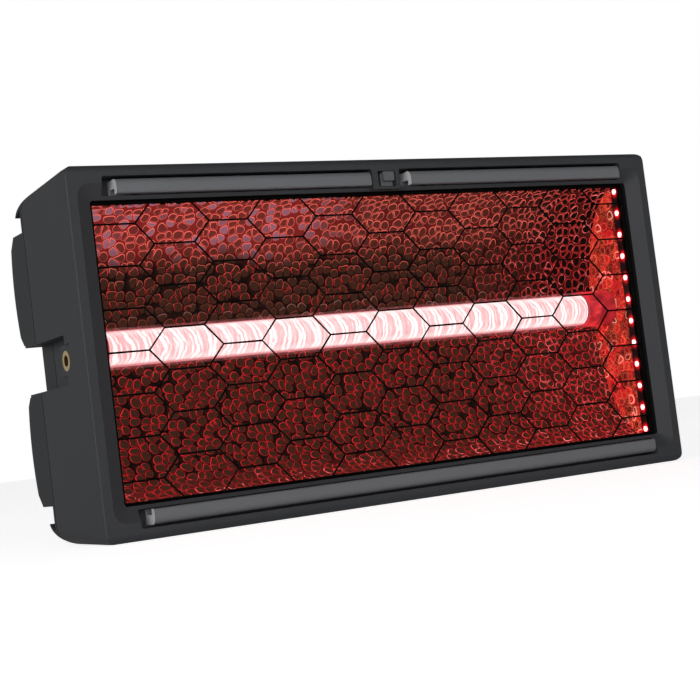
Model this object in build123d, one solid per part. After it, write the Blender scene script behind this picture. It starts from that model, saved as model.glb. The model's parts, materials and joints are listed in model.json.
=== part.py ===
"""Strobe and wash light head.

Pieces are modelled with the front face at y = 0, the rear towards +Y and z = 0 at mid-height,
and are moved to the part's own frame (origin at the bottom centre) when they are written.
"""
from build123d import *
from math import cos, floor, radians, sin, sqrt
import os

# ---- overall body ----
body_width = 425.0
body_height = 215.5
body_depth = 109.5
front_corner_radius = 6.0
rear_corner_radius = 13.0
front_collar_depth = 12.5
wall = 3.0
seam_depth = 80.0
seam_gap = 1.2
seal_inset = 1.2
seal_width = 2.0
roof_round_start = 68.0
roof_round_radius = 28.0
front_edge_drop = 4.3
front_edge_depth = 4.0
front_edge_round = 1.0

# ---- front bezel and opening ----
face_border = 6.3
face_border_top = 10.75
fold_corner_radius = 8.0
bevel_width = 9.0
bevel_width_top = 9.2
bevel_depth = 5.3
opening_corner_radius = 2.0
bezel_ring_depth = 20.0

# ---- rails and their slots ----
slot_top_inset = 6.75
slot_height = 11.0
slot_depth = 13.5
slot_end_inset = 22.0
slot_corner_radius = 1.5
island_width = 20.0
island_lip = 0.4
rail_height = 9.0
rail_top_gap = 1.3
rail_left_gap = 8.5
rail_right_gap = 1.0
rail_lip = 3.8
rail_back = 3.0
rail_roof = 5.6
rail_front_round = 4.0
rail_screw_shank = 3.0
rail_screw_head = 5.0
rail_screw_head_height = 1.4
rail_screw_length = 5.0
rail_screw_pitch = 80.0

# ---- catch between the top rails ----
catch_pocket_height = 10.0
catch_pocket_depth = 11.0
catch_pocket_side_shift = 0.7
catch_pocket_corner = 0.8
catch_clearance = 0.4
catch_travel = 3.0
catch_button_width = 7.8
catch_button_height = 5.8
catch_base_depth = 3.6
catch_base_overhang = 1.0
catch_stop_gap = 0.2
catch_rest_gap = 1.0
catch_stem_setback = 3.0
catch_spring_wire = 0.4
catch_spring_radius = 1.3
catch_spring_turns = 6
catch_tang_width = 2.0
catch_channel_inset = 0.3
catch_tang_depth = 3.6
catch_channel_height = 3.6

# ---- wire guard, glass and seals ----
guard_depth = 8.0
guard_wire = 1.0
guard_margin = 0.8
guard_rows = 7
guard_columns = 11
guard_end_run = 13.65
guard_cell_slant = 10.95
gasket_front = 8.6
gasket_width = 1.5
gasket_thickness = 0.8
glass_thickness = 3.0
glass_clearance = 0.3
retainer_thickness = 1.0

# ---- reflector and lamp ----
reflector_front = 20.4
reflector_centre = 16.5
reflector_depth = 41.3
reflector_sheet = 1.0
reflector_split = 1.0
end_plate_sheet = 1.2
lamp_depth = 43.5
lamp_rise = 5.0
lamp_radius = 12.5
lamp_glass = 1.0
lamp_end_gap = 0.3
emitter_radius = 10.8
emitter_right_end = 173.0
holder_length = 12.0

# ---- light rows beside the reflector ----
led_pitch = 15.2
led_size = 3.6
led_height = 1.3
led_end_margin = 2.2
led_board_thickness = 1.0
led_edge_gap = 0.2

# ---- side recesses for the yoke arms ----
recess_half_height = 14.5
recess_front = 31.0
recess_floor_inset = 10.5
recess_wall = 3.6
pad_half_height = 9.0
pad_front = 24.0
pad_rear = 46.0
pad_depth = 2.5
insert_depth = 38.0
insert_radius = 6.0
insert_bore = 3.35
insert_bore_length = 10.5
insert_length = 11.5

# ---- rear cover outline ----
ear_end_drop = 13.75
ear_undercut_drop = 9.25
groove_depth = 82.8
block_top_drop = 24.25
block_bottom = 16.0
block_edge_depth = 100.0
block_side_depth = 106.5
block_side_drop = 7.5
block_side_rise = 5.5
band_depth = 100.0
cover_floor = 99.5
cover_band_floor = 97.0
cover_inner_drop = 3.5
cover_band_half_height = 18.0

# ---- fans ----
fan_side = 118.0
fan_drop = 35.0
fan_size = 60.0
fan_thickness = 14.0
fan_opening_radius = 25.5
fan_grille_radius = 27.0
fan_grille_depth = 104.2
fan_grille_thickness = 1.2
fan_grille_rings = 3
fan_ring_width = 1.4
fan_hub_radius = 11.0
fan_blade_radius = 24.3
fan_blades = 7
fan_blade_thickness = 1.2
fan_blade_chord = 8.4
fan_blade_pitch = 38
fan_pin_radius = 2.0
fan_running_gap = 0.05
fan_screw_spacing = 50.0

# ---- control panel ----
panel_width = 84.0
panel_height = 46.0
panel_drop = 35.0
panel_floor = 103.5
panel_thickness = 2.0
panel_clearance = 0.3
display_width = 46.0
display_height = 18.0
display_offset = 9.0
button_radius = 4.0
button_flange_radius = 5.0
button_flange = 1.8
button_length = 5.4
button_gap = 0.4
button_pitch = 16.0
button_count = 4
button_offset = -12.0
board_thickness = 1.6
board_depth = 94.0

# ---- connector bay ----
bay_width = 250.0
bay_height = 52.0
bay_lift = 35.0
bay_floor = 102.5
flange_width = 26.0
flange_height = 31.0
flange_thickness = 2.0
socket_barrel_radius = 11.8
socket_barrel_length = 20.0
power_cavity_radius = 10.6
power_core_radius = 4.4
power_key_width = 2.4
power_cavity_depth = 16.0
data_cavity_radius = 9.6
data_pin_circle = 4.8
data_pin_radius = 0.8
data_pins = 5
data_core_radius = 8.4
power_in_side = -96.0
power_out_side = -60.0
data_in_side = 60.0
data_out_side = 96.0
flange_screw_spacing_x = 19.0
flange_screw_spacing_z = 24.0
small_screw_shank = 1.5
small_screw_head = 2.6
small_screw_head_height = 1.4
small_screw_length = 5.0

# ---- air intake slots beside the connector bay ----
vent_count = 9
vent_width = 3.0
vent_pitch = 6.0
vent_height = 40.0
vent_corner = 1.4
vent_start = 138.0

# ---- inner parts ----
sink_half_width = 165.0
sink_bottom = 18.0
sink_top_gap = 1.0
sink_front = 62.0
sink_base = 4.0
sink_rear = 83.0
sink_fins = 34
sink_fin_thickness = 2.0
supply_half_width = 120.0
supply_bottom_gap = 1.0
supply_top = -20.0
supply_rear = 81.5
supply_sheet = 1.5

# ---- rear cover screws ----
screw_half_spacing = 188.0
screw_columns = 4
screw_shank = 2.0
screw_head = 3.5
screw_head_height = 2.2
screw_length = 14.0
screw_post_half = 5.0
screw_post_length = 18.0

# ---- safety eye ----
eye_side = 165.0
eye_span = 24.0
eye_bar = 5.0
eye_leg = 4.4
eye_gap = 4.4

# ---- worked out from the sizes above ----
half_width = body_width / 2
half_height = body_height / 2
roof_round_height = half_height - roof_round_radius
ear_end_height = half_height - ear_end_drop
ear_undercut_height = half_height - ear_undercut_drop
block_top = half_height - block_top_drop
block_side_top = block_top - block_side_drop
block_side_bottom = block_bottom + block_side_rise
cover_inner_top = block_top - cover_inner_drop
fan_height = block_top - fan_drop
panel_centre_height = block_top - panel_drop
bay_centre_height = bay_lift - block_top
sink_top = cover_inner_top - sink_top_gap
supply_bottom = supply_bottom_gap - cover_inner_top
fold_half_width = half_width - face_border
fold_half_height = half_height - face_border_top
opening_half_width = fold_half_width - bevel_width
opening_half_height = fold_half_height - bevel_width_top
slot_top = half_height - slot_top_inset
slot_bottom = slot_top - slot_height
slot_half_width = half_width - slot_end_inset
slot_middle = (slot_top + slot_bottom) / 2
rail_top = slot_top - rail_top_gap
recess_floor = half_width - recess_floor_inset
pad_floor = half_width - pad_depth
guard_half_width = opening_half_width - guard_margin
guard_half_height = opening_half_height - guard_margin
front_rear_end = seam_depth - seam_gap / 2
cover_front_end = seam_depth + seam_gap / 2
glass_front = gasket_front + gasket_thickness
retainer_front = glass_front + glass_thickness
reflector_half_width = opening_half_width - 1.0
lamp_end = opening_half_width - lamp_end_gap
catch_pocket_width = catch_button_width + catch_base_overhang + catch_travel + catch_stop_gap + catch_rest_gap
catch_pocket_left = catch_pocket_side_shift - catch_pocket_width / 2
catch_right = catch_pocket_left + catch_pocket_width - catch_rest_gap
catch_middle = (slot_top + slot_bottom) / 2 - 0.8
screw_line = (ear_end_height + block_top) / 2
to_part_frame = Location((0, -body_depth / 2, half_height))


def box(x0, x1, y0, y1, z0, z1):
    return Pos((x0 + x1) / 2, (y0 + y1) / 2, (z0 + z1) / 2) * Box(x1 - x0, y1 - y0, z1 - z0)


def slab(sketch, y0, y1):
    """A drawing in X and Z, made solid from depth y0 to depth y1."""
    return extrude(Plane.XZ.offset(-y1) * sketch, amount=y1 - y0)


def bar(sketch, x0, x1):
    """A drawing in Y and Z, made solid from x0 to x1."""
    return extrude(Plane.YZ.offset(x0) * sketch, amount=x1 - x0)


def disc(radius, y0, y1, x=0.0, z=0.0):
    return slab(Pos(x, z) * Circle(radius), y0, y1)


def rod(radius, x0, x1, y, z):
    return bar(Pos(y, z) * Circle(radius), x0, x1)


def write(name, solid):
    export_step(to_part_frame * solid, f"parts/{name}.step")


def both_halves(shape):
    return shape + mirror(shape, about=Plane.XY)


# ---- shared outlines ----
def roof_height_at(depth, inset=0.0):
    if depth <= roof_round_start:
        return half_height - inset
    radius = roof_round_radius - inset
    return roof_round_height + sqrt(radius**2 - (depth - roof_round_start) ** 2)


def front_side_outline(inset, end):
    """Side view of the front shell's upper half, up to the depth called end."""
    roof = half_height - inset
    top_end = roof_height_at(end, inset)
    middle = (roof_round_start + end) / 2
    with BuildSketch() as side:
        with BuildLine():
            Polyline((end, top_end), (end, 0), (-1, 0), (-1, roof), (roof_round_start, roof))
            ThreePointArc((roof_round_start, roof), (middle, roof_height_at(middle, inset)), (end, top_end))
        make_face()
    return side.sketch


def cover_side_outline():
    """Side view of the rear cover's upper half: ear, groove, block and middle band."""
    radius = roof_round_radius
    ear_end_depth = roof_round_start + sqrt(radius**2 - (ear_end_height - roof_round_height) ** 2)
    middle = (cover_front_end + ear_end_depth) / 2
    with BuildSketch() as side:
        with BuildLine():
            Line((cover_front_end, 0), (cover_front_end, roof_height_at(cover_front_end)))
            ThreePointArc(
                (cover_front_end, roof_height_at(cover_front_end)),
                (middle, roof_height_at(middle)),
                (ear_end_depth, ear_end_height),
            )
            Polyline(
                (ear_end_depth, ear_end_height),
                (groove_depth, ear_undercut_height),
                (groove_depth, block_top),
                (block_edge_depth, block_top),
                (block_side_depth, block_side_top),
            )
            ThreePointArc(
                (block_side_depth, block_side_top),
                (body_depth, (block_side_top + block_side_bottom) / 2),
                (block_side_depth, block_side_bottom),
            )
            Polyline(
                (block_side_depth, block_side_bottom),
                (band_depth + 1.5, block_bottom),
                (band_depth, block_bottom),
                (band_depth, 0),
                (cover_front_end, 0),
            )
        make_face()
    return side.sketch


def plan_body(inset=0.0):
    """Rounded block from which both shells are cut: its corners grow rounder towards the rear."""
    width = body_width - 2 * inset
    height = body_height - 2 * inset
    nose = RectangleRounded(width, height, front_corner_radius)
    tail = RectangleRounded(width, height, rear_corner_radius - inset)
    front = slab(nose, 0, front_collar_depth)
    middle = loft([Plane.XZ.offset(-front_collar_depth) * nose, Plane.XZ.offset(-seam_depth) * tail])
    return front + middle + slab(tail, seam_depth, body_depth + 1)


def recess_block(grow, front):
    """Both side recesses, grown by a wall thickness."""
    half = recess_half_height + grow
    right = box(recess_floor - grow, half_width + 1, front, body_depth + 2, -half, half)
    return right + mirror(right, about=Plane.YZ)


def opening_sketch(inset=0.0):
    radius = max(opening_corner_radius - inset, 0.5)
    return RectangleRounded(2 * (opening_half_width - inset), 2 * (opening_half_height - inset), radius)


def ring(outer_inset, width, y0, y1):
    outer = slab(opening_sketch(outer_inset), y0, y1)
    return outer - slab(opening_sketch(outer_inset + width), y0 - 1, y1 + 1)


# ---- shells ----
def screw_places():
    step = 2 * screw_half_spacing / (screw_columns - 1)
    columns = [-screw_half_spacing + index * step for index in range(screw_columns)]
    return [(x, side * screw_line) for x in columns for side in (-1, 1)]


def front_edge_cut():
    """Rounded chamfer along the top front edge."""
    low = half_height - front_edge_drop
    past = (front_edge_depth + 0.25, half_height + 0.1)
    with BuildSketch() as side:
        with BuildLine():
            Polyline((0, low), (-1, low), (-1, half_height + 1), (past[0], half_height + 1), past)
            ThreePointArc(past, (front_edge_depth * 0.33, half_height - front_edge_drop * 0.33), (0, low))
        make_face()
    return bar(side.sketch, -half_width - 1, half_width + 1)


def slot_cut(x0, x1, side):
    middle = (x0 + x1) / 2
    drawing = Pos(middle, side * slot_middle) * RectangleRounded(x1 - x0, slot_height, slot_corner_radius)
    return slab(drawing, -1, slot_depth)


def catch_pocket():
    drawing = RectangleRounded(catch_pocket_width, catch_pocket_height, catch_pocket_corner)
    pocket = Pos(catch_pocket_side_shift, catch_middle) * drawing
    half = catch_channel_height / 2
    channel = box(
        catch_pocket_left + catch_channel_inset,
        catch_pocket_left + catch_pocket_width - catch_channel_inset,
        catch_pocket_depth - 1,
        catch_pocket_depth + catch_tang_depth + catch_clearance,
        catch_middle - half,
        catch_middle + half,
    )
    return slab(pocket, -1, catch_pocket_depth) + channel


def screw_posts():
    posts = []
    for x, z in screw_places():
        outer = half_height - wall
        low, high = sorted((z - screw_post_half * (1 if z > 0 else -1), outer * (1 if z > 0 else -1)))
        start = front_rear_end - screw_post_length
        posts.append(box(x - screw_post_half, x + screw_post_half, start, front_rear_end, low, high))
    return posts


def front_housing():
    outline = both_halves(bar(front_side_outline(0, front_rear_end), -half_width - 1, half_width + 1))
    shell = plan_body() & outline
    front_edges = shell.faces().sort_by(Axis.Y)[0].edges()
    shell = fillet(front_edges, front_edge_round)
    shell -= both_halves(front_edge_cut())

    hollow_outline = both_halves(bar(front_side_outline(wall, front_rear_end + 1), -half_width, half_width))
    hollow = plan_body(wall) & hollow_outline
    hollow &= box(-half_width, half_width, bezel_ring_depth, body_depth, -half_height, half_height)
    hollow -= recess_block(recess_wall, pad_front + 1)
    for post in screw_posts():
        hollow -= post
    shell -= hollow

    fold = RectangleRounded(2 * fold_half_width, 2 * fold_half_height, fold_corner_radius)
    bevel = loft([Plane.XZ * fold, Plane.XZ.offset(-bevel_depth) * opening_sketch()])
    half_island = island_width / 2
    island_low = opening_half_height + island_lip
    shell -= bevel - box(-half_island, half_island, -1, bevel_depth + 1, island_low, half_height)
    shell -= slab(opening_sketch(), bevel_depth, bezel_ring_depth + 1)
    shell -= slot_cut(-slot_half_width, -island_width / 2, 1)
    shell -= slot_cut(island_width / 2, slot_half_width, 1)
    shell -= slot_cut(-slot_half_width, slot_half_width, -1)
    shell -= catch_pocket()

    shell -= recess_block(0, recess_front) - pad_bosses()
    shell -= pad_cuts()
    for side in (-1, 1):
        shell -= insert_body(side, bored=False)
    for x, z in screw_places():
        shell -= disc(screw_shank, front_rear_end - screw_length, front_rear_end + 1, x, z)
    for x, z in rail_screw_places():
        shell -= disc(rail_screw_shank / 2, slot_depth - 1, slot_depth + rail_screw_length, x, z)
    return shell


def pad_bosses():
    right = box(recess_floor - 1, pad_floor, recess_front - 1, pad_rear, -pad_half_height, pad_half_height)
    return right + mirror(right, about=Plane.YZ)


def pad_cuts():
    right = box(pad_floor, half_width + 1, pad_front, pad_rear, -pad_half_height, pad_half_height)
    return right + mirror(right, about=Plane.YZ)


def rear_cover():
    outline = both_halves(bar(cover_side_outline(), -half_width - 1, half_width + 1))
    shell = plan_body() & outline
    inner_half = half_width - wall
    front = cover_front_end - 1
    hollow = box(-inner_half, inner_half, front, cover_band_floor, -cover_inner_top, cover_inner_top)
    high = box(-inner_half, inner_half, front, cover_floor, cover_band_half_height, cover_inner_top)
    hollow += both_halves(high)
    hollow -= recess_block(recess_wall, 0)
    shell -= hollow
    shell -= recess_block(0, recess_front)
    for side in (-1, 1):
        x = side * fan_side
        shell -= disc(fan_opening_radius, cover_floor - 1, body_depth + 1, x, fan_height)
        shell -= disc(fan_grille_radius, fan_grille_depth, body_depth + 1, x, fan_height)
    panel = RectangleRounded(panel_width, panel_height, 3)
    shell -= slab(Pos(0, panel_centre_height) * panel, panel_floor, body_depth + 1)
    shell -= display_cut(cover_floor - 1, panel_floor + 1, panel_clearance)
    for x, z in button_places():
        shell -= disc(button_flange_radius + button_gap, cover_floor - 1, panel_floor + 1, x, z)
    bay = RectangleRounded(bay_width, bay_height, 3)
    shell -= slab(Pos(0, bay_centre_height) * bay, bay_floor, body_depth + 1)
    for x in socket_sides():
        shell -= disc(socket_barrel_radius, cover_floor - 1, bay_floor + 1, x, bay_centre_height)
        for sx, sz in flange_screw_places(x):
            shell -= disc(small_screw_shank, cover_floor - 1, bay_floor + 1, sx, sz)
    shell -= air_slots()
    for x, z in screw_places():
        shell -= disc(screw_shank, cover_front_end - 1, groove_depth + 1, x, z)
    for x in (eye_side - eye_span / 2, eye_side + eye_span / 2):
        shell -= disc(eye_leg / 2, cover_band_floor - 1, band_depth + 1, x, 0)
    return shell


def air_slots():
    slots = []
    for side in (-1, 1):
        for index in range(vent_count):
            x = side * (vent_start + index * vent_pitch)
            drawing = RectangleRounded(vent_width, vent_height, vent_corner)
            slots.append(slab(Pos(x, bay_centre_height) * drawing, cover_floor - 1, body_depth + 1))
    return slots


def housing_seal():
    top = roof_height_at(seam_depth)
    band = slab(seal_outline(top, seal_inset), cover_front_end - seam_gap, cover_front_end)
    return band - slab(seal_outline(top, seal_inset + seal_width), 0, body_depth)


def seal_outline(top, inset):
    outline = RectangleRounded(2 * (half_width - inset), 2 * (top - inset), rear_corner_radius - inset)
    notch_width = recess_floor_inset + 1
    for side in (-1, 1):
        notch = Pos(side * (recess_floor - inset + notch_width / 2), 0)
        outline -= notch * Rectangle(notch_width, 2 * (recess_half_height + inset))
    return outline


# ---- rails ----
def rail_screw_places():
    places = []
    for x0, x1, side in rail_spans():
        count = max(2, 1 + round((x1 - x0) / rail_screw_pitch))
        step = (x1 - x0 - 30) / (count - 1)
        height = side * (rail_top - rail_height + (rail_height - rail_roof) / 2)
        places += [(x0 + 15 + i * step, height) for i in range(count)]
    return places


def rail_spans():
    start = -slot_half_width + rail_left_gap
    end = slot_half_width - rail_right_gap
    half_island = island_width / 2
    return [(start, -half_island - rail_right_gap, 1), (half_island + rail_left_gap, end, 1), (start, end, -1)]


def rail(x0, x1, side):
    """J-shaped strip: solid roof, front lip and back wall, with a channel open to the slot."""
    bottom = rail_top - rail_height
    channel_top = bottom + rail_height - rail_roof
    with BuildSketch() as profile:
        with Locations(((slot_depth) / 2, (rail_top + bottom) / 2)):
            Rectangle(slot_depth, rail_height)
        front_top = profile.vertices().sort_by(lambda v: v.X - v.Y)[0]
        fillet(front_top, rail_front_round)
        with Locations(((rail_lip + slot_depth - rail_back) / 2, (channel_top + bottom) / 2)):
            Rectangle(slot_depth - rail_back - rail_lip, channel_top - bottom, mode=Mode.SUBTRACT)
        lip_low = profile.vertices().sort_by(lambda v: v.X + 0.2 * v.Y)[0]
        fillet(lip_low, 1.2)
    strip = bar(profile.sketch, x0, x1)
    if side < 0:
        strip = mirror(strip, about=Plane.XY)
    for x, z in rail_screw_places():
        if z * side > 0 and x0 < x < x1:
            strip -= disc(rail_screw_shank / 2, slot_depth - rail_back - 1, slot_depth + 1, x, z)
    return strip


def rail_screws():
    screws = []
    seat = slot_depth - rail_back
    for x, z in rail_screw_places():
        head = disc(rail_screw_head / 2, seat - rail_screw_head_height, seat, x, z)
        head &= box(x - 3, x + 3, 0, seat, z - 1.6, z + 1.6)
        screws.append(head + disc(rail_screw_shank / 2, seat - 0.2, slot_depth + rail_screw_length, x, z))
    return Compound(screws)


# ---- catch ----
def accessory_catch():
    right = catch_right
    left = right - catch_button_width
    top = catch_middle + catch_pocket_height / 2 - catch_clearance
    low = catch_middle - catch_pocket_height / 2 + catch_clearance
    base_front = catch_pocket_depth - catch_clearance - catch_base_depth
    base_rear = catch_pocket_depth - catch_clearance
    base = box(left - catch_base_overhang, right, base_front, base_rear, low, top)
    button = box(left, right, 0.2, base_front + 0.5, top - catch_button_height, top)
    button = chamfer(button.edges().filter_by(Axis.Y).group_by(Axis.Z)[0], 0.8)
    stem = box(left - catch_base_overhang, right, catch_stem_setback, base_front + 0.5, low + 0.4, top - 1)
    tang = box(
        right - catch_tang_width,
        right,
        base_rear - 0.5,
        base_rear + catch_tang_depth,
        catch_middle - catch_channel_height / 2 + catch_clearance,
        catch_middle + catch_channel_height / 2 - catch_clearance,
    )
    return base + button + stem + tang


def catch_spring():
    """Coil along X in the channel behind the catch, between the housing and the catch's tang."""
    left = catch_pocket_left + catch_channel_inset + catch_spring_wire
    right = catch_right - catch_tang_width - catch_spring_wire
    span = right - left
    path = Helix(pitch=span / catch_spring_turns, height=span, radius=catch_spring_radius)
    start = path @ 0
    wire = Plane(origin=start, z_dir=path % 0) * Circle(catch_spring_wire / 2)
    coil = sweep(wire, path=path)
    start = (left, catch_pocket_depth + catch_tang_depth / 2, catch_middle)
    return Plane(start, x_dir=(0, 0, 1), z_dir=(1, 0, 0)).location * coil


# ---- guard, glass and seals ----
def guard_cell(centre_x, centre_z, run_left, run_right, half_rise):
    """Corners of one six-sided cell; a run of zero slant makes a square side at the border."""
    wire = guard_wire / 2
    left, right = centre_x - run_left, centre_x + run_right
    low, high = centre_z - half_rise + wire, centre_z + half_rise - wire
    slant = guard_cell_slant
    tip = wire * 1.27
    return [
        (left + slant + wire * 0.5, low),
        (right - slant - wire * 0.5, low),
        (right - tip, centre_z),
        (right - slant - wire * 0.5, high),
        (left + slant + wire * 0.5, high),
        (left + tip, centre_z),
    ]


def wire_guard():
    edge = guard_wire
    inner_x = guard_half_width - edge
    inner_z = guard_half_height - edge / 2
    rise = inner_z / guard_rows
    pitch = 2 * (guard_half_width - guard_end_run) / (guard_columns - 1)
    half_cell = (pitch + guard_cell_slant) / 2
    corner = opening_corner_radius - guard_margin
    plate = RectangleRounded(2 * guard_half_width, 2 * guard_half_height + edge / 2, corner)
    window = Rectangle(2 * inner_x, 2 * inner_z - edge / 2)
    holes = []
    for column in range(guard_columns):
        x = (column - (guard_columns - 1) / 2) * pitch
        odd = column % 2
        for row in range(-guard_rows - 1, guard_rows + 2):
            if (row + odd) % 2 == 0:
                continue
            points = guard_cell(x, row * rise, half_cell, half_cell, rise)
            if column == 0:
                points = [points[1], points[2], points[3], (-inner_x, points[3][1]), (-inner_x, points[1][1])]
            if column == guard_columns - 1:
                points = [points[4], points[5], points[0], (inner_x, points[0][1]), (inner_x, points[4][1])]
            hole = make_face(Polyline(*points, close=True)) & window
            if hole.area > 4:
                holes.append(hole)
    plate -= holes
    return slab(plate, guard_depth - guard_wire / 2, guard_depth + guard_wire / 2)


def front_glass():
    return slab(opening_sketch(glass_clearance), glass_front, retainer_front)


# ---- reflector and lamp ----
def trough_outline(grow, front):
    with BuildSketch() as side:
        with Locations((reflector_centre, 0)):
            Ellipse(reflector_depth + grow, opening_half_height + grow)
        with Locations((front - half_height, 0)):
            Rectangle(2 * half_height, 4 * half_height, mode=Mode.SUBTRACT)
    return side.sketch


def reflector_half(side):
    sheet = trough_outline(reflector_sheet, reflector_front) - trough_outline(0, reflector_front)
    place = Pos(reflector_front + half_height, side * (half_height + reflector_split / 2))
    half = place * Rectangle(2 * half_height, 2 * half_height)
    return bar(sheet & half, -reflector_half_width, reflector_half_width)


def reflector_end(side):
    x0, x1 = sorted((side * reflector_half_width, side * (reflector_half_width + end_plate_sheet)))
    plate = bar(trough_outline(reflector_sheet, reflector_front), x0, x1)
    return plate - rod(lamp_radius + 0.3, x0 - 1, x1 + 1, lamp_depth, lamp_rise)


def lamp_tube():
    outer = rod(lamp_radius, -lamp_end, lamp_end, lamp_depth, lamp_rise)
    return outer - rod(lamp_radius - lamp_glass, -lamp_end - 1, lamp_end + 1, lamp_depth, lamp_rise)


def lamp_emitter():
    left = -lamp_end + holder_length
    return rod(emitter_radius, left, emitter_right_end, lamp_depth, lamp_rise)


def lamp_holder(side):
    x0, x1 = sorted((side * (lamp_end - holder_length), side * lamp_end))
    return rod(lamp_radius - lamp_glass, x0, x1, lamp_depth, lamp_rise)


# ---- light rows ----
def led_heights():
    usable = 2 * (opening_half_height - led_end_margin) - led_size
    count = 1 + floor(usable / led_pitch + 0.01)
    return [(i - (count - 1) / 2) * led_pitch for i in range(count)]


def led_board(side):
    x0, x1 = sorted((side * opening_half_width, side * (opening_half_width - led_board_thickness)))
    y0 = retainer_front + retainer_thickness
    y1 = bezel_ring_depth - led_edge_gap
    half = opening_half_height - opening_corner_radius - led_edge_gap
    return box(x0, x1, y0, y1, -half, half)


def led_row(side):
    near = side * (opening_half_width - led_board_thickness)
    x0, x1 = sorted((near, near - side * led_height))
    y0 = retainer_front + retainer_thickness
    chip_front = y0 + led_edge_gap
    half = led_size / 2
    chips = [box(x0, x1, chip_front, chip_front + led_size, z - half, z + half) for z in led_heights()]
    return Compound(chips)


# ---- yoke inserts ----
def insert_body(side, bored=True):
    x0, x1 = sorted((side * pad_floor, side * (pad_floor - insert_length)))
    solid = rod(insert_radius, x0, x1, insert_depth, 0)
    if bored:
        b0, b1 = sorted((side * (pad_floor + 1), side * (pad_floor - insert_bore_length)))
        solid -= rod(insert_bore, b0, b1, insert_depth, 0)
    return solid


# ---- fans ----
def fan_frame(side):
    x, z = side * fan_side, fan_height
    y0, y1 = cover_floor - fan_thickness, cover_floor
    frame = slab(Pos(x, z) * RectangleRounded(fan_size, fan_size, 4), y0, y1)
    frame -= disc(fan_opening_radius, y0 - 1, y1 + 1, x, z)
    for sx in (-1, 1):
        for sz in (-1, 1):
            hole = fan_screw_spacing / 2
            frame -= disc(2.1, y0 - 1, y1 + 1, x + sx * hole, z + sz * hole)
    spider = disc(fan_hub_radius, y0, y0 + 2, x, z)
    for turn in range(4):
        arm = box(x + fan_hub_radius - 1, x + fan_opening_radius + 1, y0, y0 + 2, z - 1.5, z + 1.5)
        spider += arm.rotate(Axis((x, 0, z), (0, 1, 0)), 45 + 90 * turn)
    return frame + spider + disc(fan_pin_radius, y0, y1 - 3, x, z)


def fan_rotor(side):
    x, z = side * fan_side, fan_height
    y0, y1 = cover_floor - fan_thickness + 3, cover_floor - 1
    rotor = disc(fan_hub_radius, y0, y1, x, z)
    half = fan_blade_thickness / 2
    blade = box(fan_hub_radius - 1, fan_blade_radius, -fan_blade_chord / 2, fan_blade_chord / 2, -half, half)
    blade = blade.rotate(Axis.X, fan_blade_pitch)
    for turn in range(fan_blades):
        copy = Pos(x, (y0 + y1) / 2, z) * Rot(0, turn * 360 / fan_blades, 0) * blade
        rotor += copy
    rotor &= disc(fan_blade_radius, y0, y1, x, z)
    return rotor - disc(fan_pin_radius + fan_running_gap, y0 - 1, y1 - 1.5, x, z)


def fan_grille(side):
    x, z = side * fan_side, fan_height
    y0, y1 = fan_grille_depth, fan_grille_depth + fan_grille_thickness
    step = (fan_grille_radius - fan_ring_width) / fan_grille_rings
    grille = disc(3.5, y0, y1, x, z)
    for index in range(1, fan_grille_rings + 1):
        outer = index * step + fan_ring_width - 0.1
        grille += disc(outer, y0, y1, x, z) - disc(outer - fan_ring_width, y0 - 1, y1 + 1, x, z)
    half = fan_ring_width / 2
    for turn in range(4):
        spoke = box(x, x + fan_grille_radius - fan_ring_width, y0, y1, z - half, z + half)
        grille += spoke.rotate(Axis((x, 0, z), (0, 1, 0)), 90 * turn)
    return grille


# ---- control panel ----
def button_places():
    first = -(button_count - 1) / 2 * button_pitch
    return [(first + i * button_pitch, panel_centre_height + button_offset) for i in range(button_count)]


def display_cut(y0, y1, clearance):
    drawing = Pos(0, panel_centre_height + display_offset)
    return slab(drawing * Rectangle(display_width + 2 * clearance, display_height + 2 * clearance), y0, y1)


def control_panel():
    size = RectangleRounded(panel_width - 2 * panel_clearance, panel_height - 2 * panel_clearance, 2.7)
    plate = slab(Pos(0, panel_centre_height) * size, panel_floor, panel_floor + panel_thickness)
    plate -= display_cut(panel_floor - 1, panel_floor + panel_thickness + 1, panel_clearance)
    for x, z in button_places():
        plate -= disc(button_radius + button_gap, panel_floor - 1, panel_floor + panel_thickness + 1, x, z)
    return plate


def display_window():
    return display_cut(panel_floor - 1.5, panel_floor + panel_thickness - 0.4, 0)


def menu_button(x, z):
    y0 = panel_floor - button_flange - 0.2
    flange = disc(button_flange_radius, y0, y0 + button_flange, x, z)
    cap = disc(button_radius, y0, y0 + button_length, x, z)
    cap = fillet(cap.edges().sort_by(Axis.Y)[-1], 0.8)
    return flange + cap


def control_board():
    half = panel_width / 2 - 2
    low, high = panel_centre_height - panel_height / 2 + 2, panel_centre_height + panel_height / 2
    board = box(-half, half, board_depth, board_depth + board_thickness, low, high)
    module = display_cut(board_depth + board_thickness - 0.1, panel_floor - 1.5, -1)
    return board + module


# ---- sockets ----
def socket_sides():
    return [power_in_side, power_out_side, data_in_side, data_out_side]


def flange_screw_places(x):
    places = []
    for side in (-1, 1):
        height = bay_centre_height + side * flange_screw_spacing_z / 2
        places.append((x + side * flange_screw_spacing_x / 2, height))
    return places


def socket_body(x, cavity_radius, cavity_depth):
    face = bay_floor + flange_thickness
    z = bay_centre_height
    body = slab(Pos(x, z) * RectangleRounded(flange_width, flange_height, 2), bay_floor, face)
    body += disc(socket_barrel_radius, face - socket_barrel_length, face, x, z)
    body -= disc(cavity_radius, face - cavity_depth, face + 1, x, z)
    for sx, sz in flange_screw_places(x):
        body -= disc(small_screw_shank, bay_floor - 1, face + 1, sx, sz)
    return body


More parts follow.
